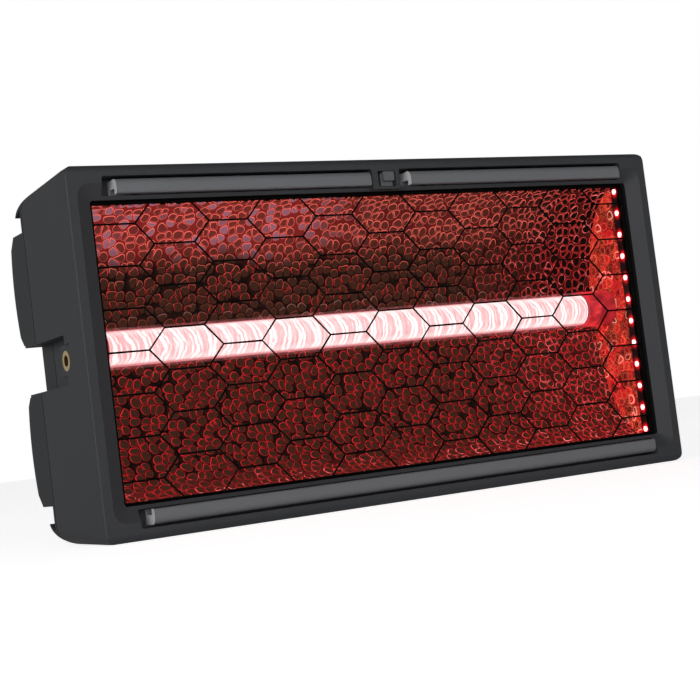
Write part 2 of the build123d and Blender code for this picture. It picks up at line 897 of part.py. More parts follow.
def power_socket(x, key_turn):
    face = bay_floor + flange_thickness
    z = bay_centre_height
    body = socket_body(x, power_cavity_radius, power_cavity_depth)
    core = disc(power_core_radius, face - power_cavity_depth - 1, face - 2, x, z)
    half, low, high = power_key_width / 2, z + power_core_radius - 1, z + power_cavity_radius + 0.5
    key = box(x - half, x + half, face - power_cavity_depth - 1, face - 3, low, high)
    key = key.rotate(Axis((x, 0, z), (0, 1, 0)), key_turn)
    return body + core + key


def data_socket(x, male):
    face = bay_floor + flange_thickness
    z = bay_centre_height
    depth = power_cavity_depth
    body = socket_body(x, data_cavity_radius, depth)
    pins = []
    for index in range(data_pins):
        turn = radians(90 + 360 / data_pins * index + 36)
        px, pz = x + data_pin_circle * cos(turn), z + data_pin_circle * sin(turn)
        pins.append((px, pz))
    if male:
        for px, pz in pins:
            body += disc(data_pin_radius, face - depth - 1, face - 3, px, pz)
        return body
    core = disc(data_core_radius, face - depth - 1, face - 1, x, z)
    for px, pz in pins:
        core -= disc(data_pin_radius + 0.3, face - 10, face, px, pz)
    return body + core


def socket_screws():
    face = bay_floor + flange_thickness
    screws = []
    for x in socket_sides():
        for sx, sz in flange_screw_places(x):
            head = disc(small_screw_head, face, face + small_screw_head_height, sx, sz)
            screws.append(head + disc(small_screw_shank, face - small_screw_length, face + 0.1, sx, sz))
    return Compound(screws)


# ---- inner parts ----
def heat_sink():
    sink = box(-sink_half_width, sink_half_width, sink_front, sink_front + sink_base, sink_bottom, sink_top)
    step = (2 * sink_half_width - sink_fin_thickness) / (sink_fins - 1)
    for index in range(sink_fins):
        x = -sink_half_width + index * step
        sink += box(x, x + sink_fin_thickness, sink_front + sink_base - 0.5, sink_rear, sink_bottom, sink_top)
    return sink


def power_supply():
    case = box(-supply_half_width, supply_half_width, sink_front, supply_rear, supply_bottom, supply_top)
    inner = supply_half_width - supply_sheet
    return case - box(
        -inner,
        inner,
        sink_front + supply_sheet,
        supply_rear - supply_sheet,
        supply_bottom + supply_sheet,
        supply_top - supply_sheet,
    )


def supply_board():
    inner = supply_half_width - supply_sheet
    low = supply_bottom + supply_sheet
    high = supply_top - supply_sheet
    floor_depth = sink_front + supply_sheet
    board = box(-inner, inner, floor_depth, floor_depth + board_thickness, low, high)
    top = floor_depth + board_thickness - 0.1
    for x in (-90, -60, 70, 95):
        board += disc(9, top, top + 14, x, (low + high) / 2 + 8)
    board += box(-25, 25, top, top + 12, low + 8, high - 14)
    return board


# ---- fasteners and the safety eye ----
def cover_screws():
    screws = []
    for x, z in screw_places():
        head = disc(screw_head, groove_depth, groove_depth + screw_head_height, x, z)
        head -= disc(1.5, groove_depth + 0.8, groove_depth + screw_head_height + 1, x, z)
        shank = disc(screw_shank, front_rear_end - screw_length, groove_depth + 0.1, x, z)
        screws.append(head + shank)
    return Compound(screws)


def safety_eye():
    face = band_depth
    left, right = eye_side - eye_span / 2, eye_side + eye_span / 2
    bar_depth = face + eye_gap + eye_bar / 2
    eye = rod(eye_bar / 2, left - eye_bar / 2, right + eye_bar / 2, bar_depth, 0)
    for x in (left, right):
        eye += disc(eye_leg / 2, cover_band_floor, bar_depth, x, 0)
    return eye


def build_all():
    os.makedirs("parts", exist_ok=True)
    write("front_housing", front_housing())
    write("rear_cover", rear_cover())
    write("housing_seal", housing_seal())
    for name, span in zip(("rail_top_left", "rail_top_right", "rail_bottom"), rail_spans()):
        write(name, rail(*span))
    write("rail_screws", rail_screws())
    write("accessory_catch", accessory_catch())
    write("catch_spring", catch_spring())
    write("wire_guard", wire_guard())
    write("glass_gasket", ring(0, gasket_width, gasket_front, glass_front))
    write("front_glass", front_glass())
    write("glass_retainer", ring(0, gasket_width, retainer_front, retainer_front + retainer_thickness))
    write("reflector_upper", reflector_half(1))
    write("reflector_lower", reflector_half(-1))
    write("lamp_tube", lamp_tube())
    write("lamp_emitter", lamp_emitter())
    for name, side in (("left", -1), ("right", 1)):
        write(f"reflector_end_{name}", reflector_end(side))
        write(f"lamp_holder_{name}", lamp_holder(side))
        write(f"led_board_{name}", led_board(side))
        write(f"led_row_{name}", led_row(side))
        write(f"yoke_insert_{name}", insert_body(side))
        write(f"fan_frame_{name}", fan_frame(side))
        write(f"fan_rotor_{name}", fan_rotor(side))
        write(f"fan_grille_{name}", fan_grille(side))
    write("control_panel", control_panel())
    write("display_window", display_window())
    for index, (x, z) in enumerate(button_places()):
        write(f"menu_button_{index + 1}", menu_button(x, z))
    write("control_board", control_board())
    write("power_inlet", power_socket(power_in_side, 0))
    write("power_outlet", power_socket(power_out_side, 180))
    write("data_in_socket", data_socket(data_in_side, True))
    write("data_out_socket", data_socket(data_out_side, False))
    write("socket_screws", socket_screws())
    write("heat_sink", heat_sink())
    write("power_supply", power_supply())
    write("supply_board", supply_board())
    write("cover_screws", cover_screws())
    write("safety_eye", safety_eye())


build_all()
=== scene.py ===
import json
import math

import bpy
from mathutils import Matrix, Quaternion, Vector


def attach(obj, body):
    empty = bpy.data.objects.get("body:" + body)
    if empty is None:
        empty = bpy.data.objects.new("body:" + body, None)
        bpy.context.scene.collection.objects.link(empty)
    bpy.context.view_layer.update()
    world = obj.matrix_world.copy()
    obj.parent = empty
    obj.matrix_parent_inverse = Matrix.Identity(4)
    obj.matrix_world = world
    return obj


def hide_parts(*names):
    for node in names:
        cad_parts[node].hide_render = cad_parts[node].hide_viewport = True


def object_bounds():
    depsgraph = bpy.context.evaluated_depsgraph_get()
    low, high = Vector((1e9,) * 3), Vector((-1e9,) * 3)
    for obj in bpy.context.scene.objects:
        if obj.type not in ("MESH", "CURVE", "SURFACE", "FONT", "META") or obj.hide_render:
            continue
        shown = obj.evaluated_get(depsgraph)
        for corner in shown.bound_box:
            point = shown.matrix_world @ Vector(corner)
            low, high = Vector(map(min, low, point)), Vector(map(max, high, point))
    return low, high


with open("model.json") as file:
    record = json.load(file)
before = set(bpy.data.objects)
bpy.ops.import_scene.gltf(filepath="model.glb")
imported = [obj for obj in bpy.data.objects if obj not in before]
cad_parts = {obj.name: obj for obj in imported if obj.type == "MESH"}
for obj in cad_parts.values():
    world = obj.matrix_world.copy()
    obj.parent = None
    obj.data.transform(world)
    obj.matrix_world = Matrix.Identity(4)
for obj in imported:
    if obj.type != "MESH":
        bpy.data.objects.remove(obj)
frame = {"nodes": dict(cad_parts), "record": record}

cadLow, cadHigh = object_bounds()
mm = 0.001
front = cadLow.y
middle = (cadLow.z + cadHigh.z) / 2
print("frame loaded", len(frame["nodes"]), "nodes")


def at(x, depth, height):  # from millimetres across, behind the front face and above mid-height
    return Vector((x * mm, front + depth * mm, middle + height * mm))


def pickNone():
    if bpy.context.object and bpy.context.object.mode != "OBJECT":
        bpy.ops.object.mode_set(mode="OBJECT")
    bpy.ops.object.select_all(action="DESELECT")


def pickOnly(thing):
    pickNone()
    thing.select_set(True)
    bpy.context.view_layer.objects.active = thing


def settle(thing):  # the object's place goes into its mesh
    pickOnly(thing)
    bpy.ops.object.transform_apply(location=True, rotation=True, scale=True)


def editAll(thing):
    pickOnly(thing)
    bpy.ops.object.mode_set(mode="EDIT")
    bpy.ops.mesh.select_all(action="SELECT")


def pickParts(thing, rule, kind="FACE"):  # selects the faces or points that meet the rule
    bpy.ops.object.mode_set(mode="OBJECT")
    mesh = thing.data
    for group in (mesh.polygons, mesh.edges, mesh.vertices):
        group.foreach_set("select", [False] * len(group))
    if kind == "FACE":
        for face in mesh.polygons:
            face.select = bool(rule(face.center, face.normal))
    elif kind == "VERT":
        for point in mesh.vertices:
            point.select = bool(rule(point.co, point.normal))
    bpy.ops.object.mode_set(mode="EDIT")
    bpy.ops.mesh.select_mode(type=kind)


def applyAll(thing):
    pickOnly(thing)
    for modifier in list(thing.modifiers):
        bpy.ops.object.modifier_apply(modifier=modifier.name)


def joined(name, things):
    pickNone()
    for thing in things:
        thing.select_set(True)
    bpy.context.view_layer.objects.active = things[0]
    bpy.ops.object.join()
    whole = bpy.context.object
    whole.name = whole.data.name = name
    return whole


def copyOf(thing, matrix):
    twin = thing.copy()
    twin.data = thing.data.copy()
    bpy.context.collection.objects.link(twin)
    twin.data.transform(matrix)
    return twin


class Wire:  # one shader socket, so that sums are written as plain arithmetic
    def __init__(self, tree, socket=None):
        self.tree, self.socket = tree, socket

    def node(self, kind, settings=None, inputs=None, output=0):
        made = self.tree.nodes.new(kind)
        for key, value in (settings or {}).items():
            setattr(made, key, value)
        for key, value in (inputs or {}).items():
            if isinstance(value, Wire):
                self.tree.links.new(value.socket, made.inputs[key])
            else:
                made.inputs[key].default_value = value
        return Wire(self.tree, made.outputs[output])

    def out(self, name):
        return Wire(self.tree, self.socket.node.outputs[name])

    def maths(self, operation, *values):
        return self.node("ShaderNodeMath", {"operation": operation}, dict(enumerate(values)))

    def __add__(self, other):
        return self.maths("ADD", self, other)

    def __sub__(self, other):
        return self.maths("SUBTRACT", self, other)

    def __rsub__(self, other):
        return self.maths("SUBTRACT", other, self)

    def __mul__(self, other):
        return self.maths("MULTIPLY", self, other)

    def __truediv__(self, other):
        return self.maths("DIVIDE", self, other)

    def __pow__(self, other):
        return self.maths("POWER", self, other)

    __radd__, __rmul__ = __add__, __mul__

    def step(self, low, high):  # 0 below low, 1 above high, smooth between
        settings = {"interpolation_type": "SMOOTHSTEP"}
        return self.node("ShaderNodeMapRange", settings, {"Value": self, "From Min": low, "From Max": high})

    def size(self):  # without its sign
        return self.maths("ABSOLUTE", self)

    def mix(self, first, second):  # this wire is the mask, the others are colours
        return self.node("ShaderNodeMix", {"data_type": "RGBA"}, {0: self, 6: first, 7: second}, 2)

    def tint(self, colour):
        return self.mix((0, 0, 0, 1), colour)

    def move(self, operation, other):  # vector maths
        return self.node("ShaderNodeVectorMath", {"operation": operation}, {0: self, 1: other})

    def parts(self):
        split = self.node("ShaderNodeSeparateXYZ", inputs={0: self})
        return split, split.out("Y"), split.out("Z")


def colour(red, green, blue):  # from 0-255 as seen on a screen to the shader's linear numbers
    shares = [c / 255 for c in (red, green, blue)]
    return tuple(((c + 0.055) / 1.055) ** 2.4 if c > 10 / 255 else c / 12.92 for c in shares) + (1,)


def finish(name, base=(0.5, 0.5, 0.5, 1), rough=0.5, **constants):
    material = bpy.data.materials.new(name)
    material.use_nodes = True
    shader = material.node_tree.nodes["Principled BSDF"]
    shader.inputs["Base Color"].default_value = base
    shader.inputs["Roughness"].default_value = rough
    for key, value in constants.items():
        shader.inputs[key.replace("_", " ")].default_value = value
    return material, Wire(material.node_tree), shader


def feed(shader, **links):
    for key, wire in links.items():
        wire.tree.links.new(wire.socket, shader.inputs[key.replace("_", " ")])


def objectPlace(start):
    return start.node("ShaderNodeTexCoord", output=3)


def relief(start, height, strength, distance):
    return start.node("ShaderNodeBump", inputs={"Height": height, "Strength": strength, "Distance": distance})


def placeInMm(start):  # x, depth behind the front face and height above the middle, in millimetres
    x, y, z = objectPlace(start).parts()
    return x * 1000, (y - front) * 1000, (z - middle) * 1000


view = {
    "place": (-0.5273, -0.88835, 0.04355), "looksAt": (-0.0417, -0.05475, 0.09665),
    "roll": -7.08, "lens": 80.95,
}
studio = {
    "floor": 60, "seen": 1.0, "horizon": 0.5, "zenith": 0.06,
    "floorDark": (0.84, 0.84, 0.84, 1), "floorLight": (0.88, 0.88, 0.88, 1),
    "floorGlow": 0.68, "floorBase": 0.08,
}

bpy.context.scene.view_settings.view_transform = "Standard"
cameraData = bpy.data.cameras.new("camera")
cameraData.lens = view["lens"]
cameraData.sensor_width = 36
cameraData.clip_start, cameraData.clip_end = 0.01, 200
camera = bpy.data.objects.new("camera", cameraData)
bpy.context.collection.objects.link(camera)
camera.location = view["place"]
forward = Vector(view["looksAt"]) - Vector(view["place"])
camera.rotation_mode = "QUATERNION"
roll = Quaternion((0, 0, 1), math.radians(view["roll"]))
camera.rotation_quaternion = forward.to_track_quat("-Z", "Y") @ roll
bpy.context.scene.camera = camera

pickNone()
bpy.ops.mesh.primitive_plane_add(size=studio["floor"])
floor = bpy.context.object
floor.name = "floor"
floorFinish, start, shader = finish("floorPaper", rough=0.8, Specular_IOR_Level=0.1, Emission_Strength=1.0)
seenOnly = start.node("ShaderNodeLightPath") * studio["floorGlow"] + studio["floorBase"]
mottle = start.node("ShaderNodeTexNoise", inputs={"Vector": objectPlace(start), "Scale": 3.0, "Detail": 2.0})
feed(shader, Base_Color=mottle.mix(studio["floorDark"], studio["floorLight"]))
feed(shader, Emission_Color=seenOnly.tint((1, 1, 1, 1)))
floor.data.materials.append(floorFinish)

world = bpy.data.worlds.new("studio")
world.use_nodes = True
bpy.context.scene.world = world
start = Wire(world.node_tree)
up = start.node("ShaderNodeTexCoord", output=0).parts()[2]
horizon, zenith, seen = [[studio[key]] * 3 + [1] for key in ("horizon", "zenith", "seen")]
room = up.step(0.0, 0.8).mix(horizon, zenith)  # darker overhead
backdrop = start.node("ShaderNodeLightPath").mix(room, seen)  # the camera itself sees white
world.node_tree.links.new(backdrop.socket, world.node_tree.nodes["Background"].inputs["Color"])

lamps = {
    "frontSoftbox": {"place": (-0.5, -2.4, 0.1), "size": 1.8, "power": 20},
    "sideSoftbox": {"place": (-1.8, -1.7, 0.25), "size": 1.5, "power": 42},
}
for name, values in lamps.items():
    data = bpy.data.lights.new(name, "AREA")
    data.size = values["size"]
    data.energy = values["power"]
    softbox = bpy.data.objects.new(name, data)
    bpy.context.collection.objects.link(softbox)
    softbox.location = values["place"]
    softbox.rotation_mode = "QUATERNION"
    softbox.rotation_quaternion = (Vector((0, 0, middle)) - Vector(values["place"])).to_track_quat("-Z", "Y")
print("camera, floor and lights set")


# fine-grained powder coat or moulded plastic
def coated(name, shade, rough, grain=0.55, depth=0.05, mottling=0.14, shine=0.3):
    material, start, shader = finish(name, (*shade, 1), rough, Specular_IOR_Level=shine)
    place = objectPlace(start)
    fine = start.node("ShaderNodeTexNoise", inputs={"Vector": place, "Scale": 1000 / grain, "Detail": 2.0})
    broad = start.node("ShaderNodeTexNoise", inputs={"Vector": place, "Scale": 9.0, "Detail": 3.0})
    darker = [c * (1 - mottling) for c in shade] + [1]
    lighter = [c * (1 + mottling) for c in shade] + [1]
    feed(shader, Base_Color=(fine * 0.6 + broad * 0.4).step(0.3, 0.7).mix(darker, lighter))
    feed(shader, Roughness=rough - 0.06 + broad * 0.12)
    feed(shader, Normal=relief(start, fine, 0.35, depth * mm))
    return material


def metal(name, shade, rough, grain=0.2, stretch=(1, 1, 1), metallic=1.0):
    material, start, shader = finish(name, (*shade, 1), rough, Metallic=metallic)
    place = objectPlace(start).move("MULTIPLY", stretch)
    lines = start.node("ShaderNodeTexNoise", inputs={"Vector": place, "Scale": 1000 / grain, "Detail": 3.0})
    darker = [c * 0.82 for c in shade] + [1]
    lighter = [min(c * 1.15, 1) for c in shade] + [1]
    feed(shader, Base_Color=lines.mix(darker, lighter))
    feed(shader, Roughness=rough - 0.08 + lines * 0.16)
    feed(shader, Normal=relief(start, lines, 0.2, 0.02 * mm))
    return material


def circuitBoard(name, shade):
    material, start, shader = finish(name, (*shade, 1), 0.35)
    place = objectPlace(start)
    layout = {"Vector": place, "Scale": 260.0, "Mortar Size": 0.04}
    tracks = start.node("ShaderNodeTexBrick", {"offset": 0.37}, layout, 1)
    feed(shader, Base_Color=tracks.mix((*shade, 1), [min(c * 2.2 + 0.01, 1) for c in shade] + [1]))
    feed(shader, Normal=relief(start, tracks, 0.3, 0.04 * mm))
    return material


def clearGlass(name, shade, alpha, rough=0.04):
    material, start, shader = finish(name, (*shade, 1), rough, Alpha=alpha, Specular_IOR_Level=0.1)
    place = objectPlace(start)
    smear = start.node("ShaderNodeTexNoise", inputs={"Vector": place, "Scale": 30.0, "Detail": 4.0})
    feed(shader, Roughness=smear * 0.08 + rough)
    return material


chips = {  # the row of lights on each side wall
    "pitch": 15.2, "count": 12, "depth": 15.4, "outer": 196.2,
    "side": 3.5, "rise": 0.8, "soft": 0.09,
    "steps": ((0.35, -0.3), (0.2, 0.45), (0.45, 0.3)),  # insets and pushes: a sunken rim, then a raised dome
    "core": colour(255, 236, 232), "halo": colour(255, 22, 40), "far": colour(120, 8, 18),
}


def chipDistance(start):  # millimetres from the nearest light chip's centre, on the side wall
    _, depth, height = placeInMm(start)
    pitch = chips["pitch"]
    beside = height.maths("FRACT", height / pitch + 100.0) * pitch - pitch / 2
    behind = depth - chips["depth"]
    return (beside * beside + behind * behind) ** 0.5


def chipGlow():
    material, start, shader = finish("chipGlow", (0.5, 0.05, 0.05, 1), 0.3, Emission_Strength=2.6)
    away = chipDistance(start)
    glow = away.step(1.4, 2.1).mix(chips["core"], chips["halo"])
    feed(shader, Emission_Color=away.step(2.3, 3.0).mix(glow, chips["far"]))
    return material


def chipStrip():
    material, start, shader = finish("chipStrip", (0.006, 0.004, 0.004, 1), 0.5, Emission_Strength=1.0)
    away = chipDistance(start)
    grain = start.node("ShaderNodeTexNoise", inputs={"Vector": objectPlace(start), "Scale": 900.0})
    # painted light: a red pool of the chips' light is painted as glow on the dark strip, fading with distance
    # from each chip
    feed(shader, Emission_Color=((1 - away.step(0.5, 6.5)) ** 2.0 * (1.0 + grain)).tint(colour(255, 16, 30)))
    feed(shader, Normal=relief(start, grain, 0.3, 0.05 * mm))
    return material


tube = {  # the lamp, and the glowing filler wound inside it
    "depth": 43.5, "rise": 5.0, "fill": 10.8, "start": -185.5, "end": 173.0, "fade": 0.6,
    "pitch": 10.4, "bow": 4.2, "lean": 1.6,
    "white": colour(255, 252, 250), "pink": colour(186, 124, 128),
    "rose": colour(224, 172, 172), "deep": colour(190, 110, 114),
}


def tubeGlow():  # wound, glowing filler inside the lamp: bowed bright streaks on pink
    material, start, shader = finish("tubeGlow", (0.8, 0.7, 0.7, 1), 0.5, Emission_Strength=1.0)
    x, depth, height = placeInMm(start)
    place = objectPlace(start)
    upward = (height - tube["rise"]) / tube["fill"]
    outward = (tube["depth"] - depth) / tube["fill"]
    wobble = start.node("ShaderNodeTexNoise", inputs={"Vector": place, "Scale": 70.0, "Detail": 2.0}) - 0.5
    turn = (x - outward * tube["bow"] + upward * tube["lean"] + wobble * 6.0) / tube["pitch"]
    wide = turn.maths("SINE", turn * (2 * math.pi)) * 0.5 + 0.5
    fine = turn.maths("SINE", turn * 19.0 + wobble * 9.0) * 0.5 + 0.5
    drawnOut = place.move("MULTIPLY", (900, 60, 60))
    hair = start.node("ShaderNodeTexNoise", inputs={"Vector": drawnOut, "Scale": 1.0})
    streak = (wide * 0.4 + fine * 0.42 + hair * 0.5).step(0.58, 0.92)
    body = hair.step(0.3, 0.7).mix(tube["pink"], tube["rose"])
    body = streak.mix(body, tube["white"])
    edge = upward.size().step(0.84, 0.98)
    pale = upward.size().step(0.5, 0.85) * 0.45
    body = pale.mix(body, tube["white"])
    feed(shader, Emission_Color=edge.mix(body, tube["deep"]))
    return material


def tubeGlass():
    constants = {"Emission_Strength": 1.0, "Specular_IOR_Level": 0.35}
    material, start, shader = finish("tubeGlass", (0.3, 0.03, 0.04, 1), 0.08, **constants)
    x = placeInMm(start)[0]
    past, begun = [x.step(tube[key] - tube["fade"], tube[key] + tube["fade"]) for key in ("end", "start")]
    bare = past + (1 - begun)  # clear beyond both ends of the filler
    place = objectPlace(start)
    cloud = start.node("ShaderNodeTexNoise", inputs={"Vector": place, "Scale": 90.0, "Detail": 2.0})
    feed(shader, Alpha=bare * 0.62 + 0.07)
    # painted light: the glass is painted glowing, red over the filler and pale pink at its bare ends
    redLit = cloud.step(0.35, 0.7).mix(colour(120, 12, 20), colour(215, 45, 52))
    feed(shader, Emission_Color=bare.mix(colour(205, 120, 125), redLit))
    return material


# where the housing's opening begins and ends, in millimetres
opening = {"halfWidth": (197.5, 198.2), "halfHeight": (88.1, 88.8), "depth": (5.2, 5.7)}


def housingAndShade():
    material = coated("housingCoatPaintedShade", (0.034, 0.0355, 0.039), 0.55)
    shader = material.node_tree.nodes["Principled BSDF"]
    start = Wire(material.node_tree)
    painted = Wire(material.node_tree, shader.inputs["Base Color"].links[0].from_socket)
    x, depth, height = placeInMm(start)
    beside = 1 - x.size().step(*opening["halfWidth"])
    between = 1 - height.size().step(*opening["halfHeight"])
    # painted shade: the opening's inner walls are painted dead black, where shade falls
    inner = depth.step(*opening["depth"]) * beside * between  # dead black inside the opening
    feed(shader, Base_Color=inner.mix(painted, (0.001, 0.001, 0.001, 1)), Roughness=inner * 0.4 + 0.55)
    return material


def railAndHighlight():
    material = coated("railSatin", (0.135, 0.139, 0.147), 0.42, 0.3, 0.02, 0.05)
    shader = material.node_tree.nodes["Principled BSDF"]
    start = Wire(material.node_tree)
    painted = Wire(material.node_tree, shader.inputs["Base Color"].links[0].from_socket)
    across = start.node("ShaderNodeTexCoord", output=1).parts()[0]
    bareEndAndHighlight = (across * across).step(0.7, 0.9)  # pale where the strip is cut to length: bare metal, and a painted highlight of the light from the left
    feed(shader, Base_Color=bareEndAndHighlight.mix(painted, (0.6, 0.6, 0.61, 1)))
    return material


finishes = {
    "housing": housingAndShade(),
    "cover": coated("coverCoat", (0.029, 0.0305, 0.033), 0.6),
    "rail": railAndHighlight(),
    "catch": coated("catchSatin", (0.1, 0.103, 0.108), 0.45, 0.4, 0.03, 0.06),
    "rubber": coated("rubberMatt", (0.002, 0.002, 0.002), 0.9, 0.8, 0.05, 0.1, 0.04),
    "retainer": coated("retainerBlack", (0.002, 0.002, 0.002), 0.8, 0.5, 0.03, 0.1, 0.04),
    "guard_wire": coated("guardCoat", (0.002, 0.002, 0.002), 0.6, 0.3, 0.03, 0.1, 0.04),
    "glass": clearGlass("frontGlass", (0.02, 0.02, 0.02), 0.01),
    "lamp_glass": tubeGlass(),
    "lamp_glow": tubeGlow(),
    "lamp_holder": coated("holderCeramic", (0.1, 0.012, 0.012), 0.6, 0.4, 0.03, 0.1),
    "led_board": chipStrip(),
    "led": chipGlow(),
    "brass": metal("insertBrass", (0.62, 0.45, 0.2), 0.28, 0.15, (1, 1, 6)),
    "fan_plastic": coated("fanPlastic", (0.018, 0.018, 0.02), 0.42, 0.6, 0.02, 0.08),
    "grille": metal("grilleWire", (0.03, 0.03, 0.032), 0.42, 0.3, metallic=0.6),
    "panel": coated("panelMembrane", (0.022, 0.023, 0.026), 0.5, 0.35, 0.02, 0.06),
    "display": clearGlass("displayTint", (0.02, 0.05, 0.07), 0.82, 0.1),
    "button": coated("buttonRubber", (0.15, 0.152, 0.158), 0.7, 0.5, 0.03, 0.08),
    "board": circuitBoard("boardGreen", (0.012, 0.09, 0.035)),
    "socket": coated("socketBlack", (0.016, 0.016, 0.018), 0.38, 0.6, 0.02, 0.06),
    "socket_power_in": coated("socketBlue", (0.02, 0.085, 0.34), 0.38, 0.6, 0.02, 0.05),
    "socket_power_out": coated("socketGrey", (0.33, 0.335, 0.345), 0.4, 0.6, 0.02, 0.05),
    "screw": metal("screwBlack", (0.1, 0.1, 0.105), 0.35, 0.2, (1, 1, 4)),
    "heat_sink": metal("sinkAluminium", (0.6, 0.61, 0.62), 0.38, 0.25, (0.1, 1, 1)),
    "supply_case": metal("caseZinc", (0.52, 0.53, 0.54), 0.42, 0.4),
}
for part in frame["record"]["subparts"]:
    if part["material_slot"] in finishes:
        for slot in frame["nodes"][part["node"]].material_slots:
            slot.material = finishes[part["material_slot"]]
print("finishes made", len(finishes))

hammer = {  # the reflector: rounded pebbles pressed into bright sheet, in millimetres and shares of a pebble
    "pebble": 6.0, "lift": 0.8, "spacing": 1.05, "wall": 0.7, "uneven": 0.82, "reach": 0.6, "rounding": 0.16,
    "halfLength": 196.2, "semiHeight": 87.8, "semiDepth": 41.3, "centre": 16.5, "front": 20.4, "split": 1.0,
}


# how far inside its pebble a point is, the way from the pebble's centre, and a random tone for each pebble,
# which varies the painted reflections
def pebbles(start, flat):
    cells = flat.move("MULTIPLY", [1000 / hammer["pebble"]] * 3)
    wander = start.node("ShaderNodeTexNoise", inputs={"Vector": cells, "Scale": 0.5, "Detail": 1.0}, output=1)
    wander = wander.move("SUBTRACT", (0.5, 0.5, 0.5)).move("MULTIPLY", (0.7, 0.7, 0))
    cells = cells.move("ADD", wander)
    shared = {"Vector": cells, "Scale": 1.0, "Randomness": hammer["uneven"]}
    toEdge = {"voronoi_dimensions": "2D", "feature": "DISTANCE_TO_EDGE"}
    edge = start.node("ShaderNodeTexVoronoi", toEdge, shared)
    centre = start.node("ShaderNodeTexVoronoi", {"voronoi_dimensions": "2D"}, shared)
    inside = edge.maths("SMOOTH_MIN", edge, hammer["reach"] - centre, hammer["rounding"])
    away = cells.move("SUBTRACT", centre.out("Position")).move("NORMALIZE", (0, 0, 0))
    return inside, away, centre.out("Color")


def hammerNodes():
    tree = bpy.data.node_groups.new("hammered", "GeometryNodeTree")
    tree.interface.new_socket("Geometry", in_out="INPUT", socket_type="NodeSocketGeometry")
    tree.interface.new_socket("Geometry", in_out="OUTPUT", socket_type="NodeSocketGeometry")
    start = Wire(tree)
    geometry = start.node("NodeGroupInput")
    flat = start.node("GeometryNodeInputPosition")
    stored = start.node(
        "GeometryNodeStoreNamedAttribute", {"data_type": "FLOAT_VECTOR", "domain": "POINT"},
        {"Geometry": geometry, "Name": "flat", "Value": flat},
    )
    inside = pebbles(start, flat)[0]
    lifted = inside.step(0.0, 0.2) * 0.8 + inside.step(0.05, 0.5) * 0.2
    push = start.node("ShaderNodeCombineXYZ", inputs={2: lifted * (hammer["lift"] * mm)})
    moved = start.node("GeometryNodeSetPosition", inputs={"Geometry": stored, "Offset": push})
    end = tree.nodes.new("NodeGroupOutput")
    tree.links.new(moved.socket, end.inputs[0])
    return tree


def quarterLength():  # round a quarter of the ellipse, and round the part of it that the sheet covers
    a, b = hammer["semiHeight"], hammer["semiDepth"]
    first = math.asin((hammer["front"] - hammer["centre"]) / b)  # up to the sheet's rim
    steps = 2000
    lengths = []
    for turn in (math.pi / 2, math.pi / 2 - first):
        angles = [math.pi / 2 - turn + (i + 0.5) / steps * turn for i in range(steps)]
        lengths.append(sum(math.hypot(a * math.sin(t), b * math.cos(t)) for t in angles) / steps * turn)
    return lengths


quarter, covered = quarterLength()
hammered = hammerNodes()


def flatSheet(name, x0, x1, y0, y1):  # a hammered sheet lying flat, its pebbles facing up
    pickNone()
    columns, rows = [round(length / hammer["spacing"]) for length in (x1 - x0, y1 - y0)]
    bpy.ops.mesh.primitive_grid_add(x_subdivisions=columns, y_subdivisions=rows, size=1)
    sheet = bpy.context.object
    sheet.name = sheet.data.name = name
    bpy.ops.object.mode_set(mode="EDIT")
    bpy.ops.mesh.select_all(action="SELECT")
    bpy.ops.transform.resize(value=((x1 - x0) * mm, (y1 - y0) * mm, 1))
    bpy.ops.transform.translate(value=((x0 + x1) / 2 * mm, (y0 + y1) / 2 * mm, 0))
    bpy.ops.object.mode_set(mode="OBJECT")
    modifier = sheet.modifiers.new("hammered", "NODES")
    modifier.node_group = hammered
    applyAll(sheet)
    return sheet


# the ellipse, whose second and third quarters run from the lower rim round the back to the upper rim
def troughProfile():
    pickNone()
    bpy.ops.curve.primitive_bezier_circle_add(radius=1)
    profile = bpy.context.object
    profile.name = "troughProfile"
    profile.data.resolution_u = 64
    profile.data.use_radius = False
    profile.scale = (hammer["semiHeight"] * mm, hammer["semiDepth"] * mm, 1)
    bpy.ops.object.transform_apply(location=False, rotation=False, scale=True)
    return profile


def troughHalf(name, start, end, profile):
    length = hammer["halfLength"]
    sheet = flatSheet(name, start, end, -length, length)
    pickOnly(sheet)  # stands up on its long edge, pebbles towards -y, to follow the profile drawn in x and y
    sheet.rotation_euler = (math.pi / 2, 0, 0)
    bpy.ops.object.transform_apply(rotation=True)
    bend = sheet.modifiers.new("bend", "CURVE")
    bend.object = profile
    bend.deform_axis = "POS_X"
    wall = sheet.modifiers.new("wall", "SOLIDIFY")
    wall.thickness = hammer["wall"] * mm
    wall.offset = -1
    applyAll(sheet)
    sheet.matrix_world = Matrix((
        (0, 0, -1, 0),
        (0, 1, 0, front + hammer["centre"] * mm),
        (1, 0, 0, middle),
        (0, 0, 0, 1),
    ))
    settle(sheet)
    bpy.ops.object.shade_smooth_by_angle(angle=math.radians(50))
    return sheet


profile = troughProfile()
gap = hammer["split"] / 2
lower = troughHalf("reflectorLower", 2 * quarter - covered, 2 * quarter - gap, profile)
upper = troughHalf("reflectorUpper", 2 * quarter + gap, 2 * quarter + covered, profile)
bpy.data.objects.remove(profile)
print("reflector halves", len(lower.data.polygons), [round(v, 4) for v in lower.dimensions])

# the reflector's end plates, in millimetres
plate = {"inner": 196.25, "wall": 0.4, "hole": 12.9, "overlap": 0.9, "cutter": 20.0}


